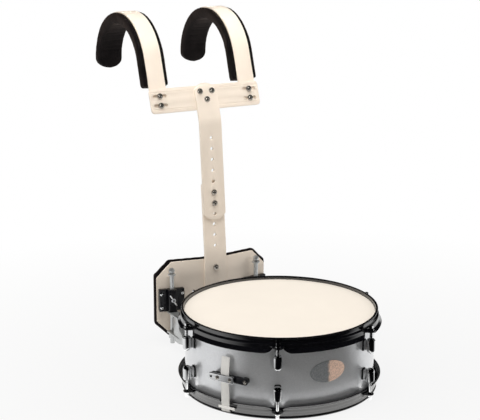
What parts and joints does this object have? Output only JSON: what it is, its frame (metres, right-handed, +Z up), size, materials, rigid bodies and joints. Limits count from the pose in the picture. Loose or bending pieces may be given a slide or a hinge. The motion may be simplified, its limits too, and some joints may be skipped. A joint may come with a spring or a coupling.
{
  "type": "marching snare drum",
  "caption": "Marching snare drum with tube lugs, snare strainer and a padded shoulder carrier with a height-adjustable upright.",
  "frame": {"origin": "centre of the playing surface of the batter head", "axes": "+Z up out of the batter head, -Y to the badge at the front of the drum, +Y to the player, +X to the player's left"},
  "size_m": [0.3996, 0.7704, 0.6557],
  "materials": {
    "silver_lacquer": "gloss",
    "head_film": "satin",
    "black_enamel": "gloss",
    "black_casting": "satin",
    "chrome": "polished",
    "dark_chrome": "polished",
    "snare_wire": "satin",
    "white_plastic": "satin",
    "white_paint": "satin",
    "black_foam": "matte",
    "foil": "gloss"
  },
  "bodies": {
    "drum": {"shell": "silver_lacquer", "batter_head": "head_film", "snare_head": "head_film", "top_hoop": "black_enamel", "bottom_hoop": "black_enamel", "top_lug_1": "black_casting", "top_lug_2": "black_casting", "top_lug_3": "black_casting", "top_lug_4": "black_casting", "top_lug_5": "black_casting", "top_lug_6": "black_casting", "bottom_lug_1": "black_casting", "bottom_lug_2": "black_casting", "bottom_lug_3": "black_casting", "bottom_lug_4": "black_casting", "bottom_lug_5": "black_casting", "bottom_lug_6": "black_casting", "badge": "foil", "snare_wires": "snare_wire", "butt_bracket": "black_casting", "butt_clamp": "chrome", "butt_strap": "white_plastic", "strainer_body": "chrome", "strainer_strap": "white_plastic", "right_j_rod": "chrome", "left_j_rod": "chrome", "right_hanger": "chrome", "left_hanger": "chrome"},
    "top_tension_rod_1": {"top_rod_1": "chrome"},
    "top_tension_rod_2": {"top_rod_2": "chrome"},
    "top_tension_rod_3": {"top_rod_3": "chrome"},
    "top_tension_rod_4": {"top_rod_4": "chrome"},
    "top_tension_rod_5": {"top_rod_5": "chrome"},
    "top_tension_rod_6": {"top_rod_6": "chrome"},
    "bottom_tension_rod_1": {"bottom_rod_1": "chrome"},
    "bottom_tension_rod_2": {"bottom_rod_2": "chrome"},
    "bottom_tension_rod_3": {"bottom_rod_3": "chrome"},
    "bottom_tension_rod_4": {"bottom_rod_4": "chrome"},
    "bottom_tension_rod_5": {"bottom_rod_5": "chrome"},
    "bottom_tension_rod_6": {"bottom_rod_6": "chrome"},
    "lever": {"strainer_lever": "chrome"},
    "slider": {"strainer_slider": "chrome"},
    "knob": {"tension_knob": "black_casting"},
    "carrier": {"belly_plate": "white_paint", "belly_pad": "black_foam", "lower_bar": "white_paint", "right_clamp_block": "black_enamel", "left_clamp_block": "black_enamel"},
    "right_screw": {"right_wing_screw": "chrome"},
    "left_screw": {"left_wing_screw": "chrome"},
    "upright": {"upper_bar": "white_paint", "crossbar": "white_paint"},
    "right_shoulder": {"right_shoulder_bar": "white_paint", "right_shoulder_pad": "black_foam", "right_shoulder_bolt_lower": "dark_chrome", "right_shoulder_bolt_upper": "dark_chrome"},
    "left_shoulder": {"left_shoulder_bar": "white_paint", "left_shoulder_pad": "black_foam", "left_shoulder_bolt_lower": "dark_chrome", "left_shoulder_bolt_upper": "dark_chrome"}
  },
  "joints": [
    {"name": "carrier_slide", "type": "slide", "parent": "drum", "child": "carrier", "axis": [0, 0, 1], "range_m": [0, 0.029]},
    {"name": "height_slide", "type": "slide", "parent": "carrier", "child": "upright", "axis": [0, 0.0958, 0.9954], "range_m": [-0.088, 0.044]},
    {"name": "right_shoulder_slide", "type": "slide", "parent": "upright", "child": "right_shoulder", "axis": [1, 0, 0], "range_m": [-0.01, 0.01]},
    {"name": "left_shoulder_slide", "type": "slide", "parent": "upright", "child": "left_shoulder", "axis": [1, 0, 0], "range_m": [-0.01, 0.01]},
    {"name": "right_screw_turn", "type": "hinge", "parent": "carrier", "child": "right_screw", "pos_m": [-0.09373, 0.28154, -0.047], "axis": [0.1736, 0.9848, 0], "continuous": true},
    {"name": "left_screw_turn", "type": "hinge", "parent": "carrier", "child": "left_screw", "pos_m": [0.09373, 0.28154, -0.047], "axis": [-0.1736, 0.9848, 0], "continuous": true},
    {"name": "lever_swing", "type": "hinge", "parent": "drum", "child": "lever", "pos_m": [0.17234, 0.0995, -0.056], "axis": [0.5, -0.866, 0], "range_deg": [0, 95]},
    {"name": "slider_slide", "type": "slide", "parent": "drum", "child": "slider", "axis": [0, 0, 1], "range_m": [-0.006, 0], "deforming": ["strainer_strap"]},
    {"name": "knob_turn", "type": "hinge", "parent": "drum", "child": "knob", "pos_m": [0.16229, 0.0937, -0.033], "axis": [0, 0, 1], "continuous": true},
    {"name": "top_rod_turn_1", "type": "hinge", "parent": "drum", "child": "top_tension_rod_1", "pos_m": [-0.096, 0.16628, 0], "axis": [0, 0, 1], "continuous": true},
    {"name": "top_rod_turn_2", "type": "hinge", "parent": "drum", "child": "top_tension_rod_2", "pos_m": [-0.192, 0, 0], "axis": [0, 0, 1], "continuous": true},
    {"name": "top_rod_turn_3", "type": "hinge", "parent": "drum", "child": "top_tension_rod_3", "pos_m": [-0.096, -0.16628, 0], "axis": [0, 0, 1], "continuous": true},
    {"name": "top_rod_turn_4", "type": "hinge", "parent": "drum", "child": "top_tension_rod_4", "pos_m": [0.096, -0.16628, 0], "axis": [0, 0, 1], "continuous": true},
    {"name": "top_rod_turn_5", "type": "hinge", "parent": "drum", "child": "top_tension_rod_5", "pos_m": [0.192, 0, 0], "axis": [0, 0, 1], "continuous": true},
    {"name": "top_rod_turn_6", "type": "hinge", "parent": "drum", "child": "top_tension_rod_6", "pos_m": [0.096, 0.16628, 0], "axis": [0, 0, 1], "continuous": true},
    {"name": "bottom_rod_turn_1", "type": "hinge", "parent": "drum", "child": "bottom_tension_rod_1", "pos_m": [-0.096, 0.16628, -0.14], "axis": [0, 0, 1], "continuous": true},
    {"name": "bottom_rod_turn_2", "type": "hinge", "parent": "drum", "child": "bottom_tension_rod_2", "pos_m": [-0.192, 0, -0.14], "axis": [0, 0, 1], "continuous": true},
    {"name": "bottom_rod_turn_3", "type": "hinge", "parent": "drum", "child": "bottom_tension_rod_3", "pos_m": [-0.096, -0.16628, -0.14], "axis": [0, 0, 1], "continuous": true},
    {"name": "bottom_rod_turn_4", "type": "hinge", "parent": "drum", "child": "bottom_tension_rod_4", "pos_m": [0.096, -0.16628, -0.14], "axis": [0, 0, 1], "continuous": true},
    {"name": "bottom_rod_turn_5", "type": "hinge", "parent": "drum", "child": "bottom_tension_rod_5", "pos_m": [0.192, 0, -0.14], "axis": [0, 0, 1], "continuous": true},
    {"name": "bottom_rod_turn_6", "type": "hinge", "parent": "drum", "child": "bottom_tension_rod_6", "pos_m": [0.096, 0.16628, -0.14], "axis": [0, 0, 1], "continuous": true}
  ],
  "couplings": [
    {"joint": "slider_slide", "follows": "lever_swing", "m_per_rad": -0.0036}
  ]
}
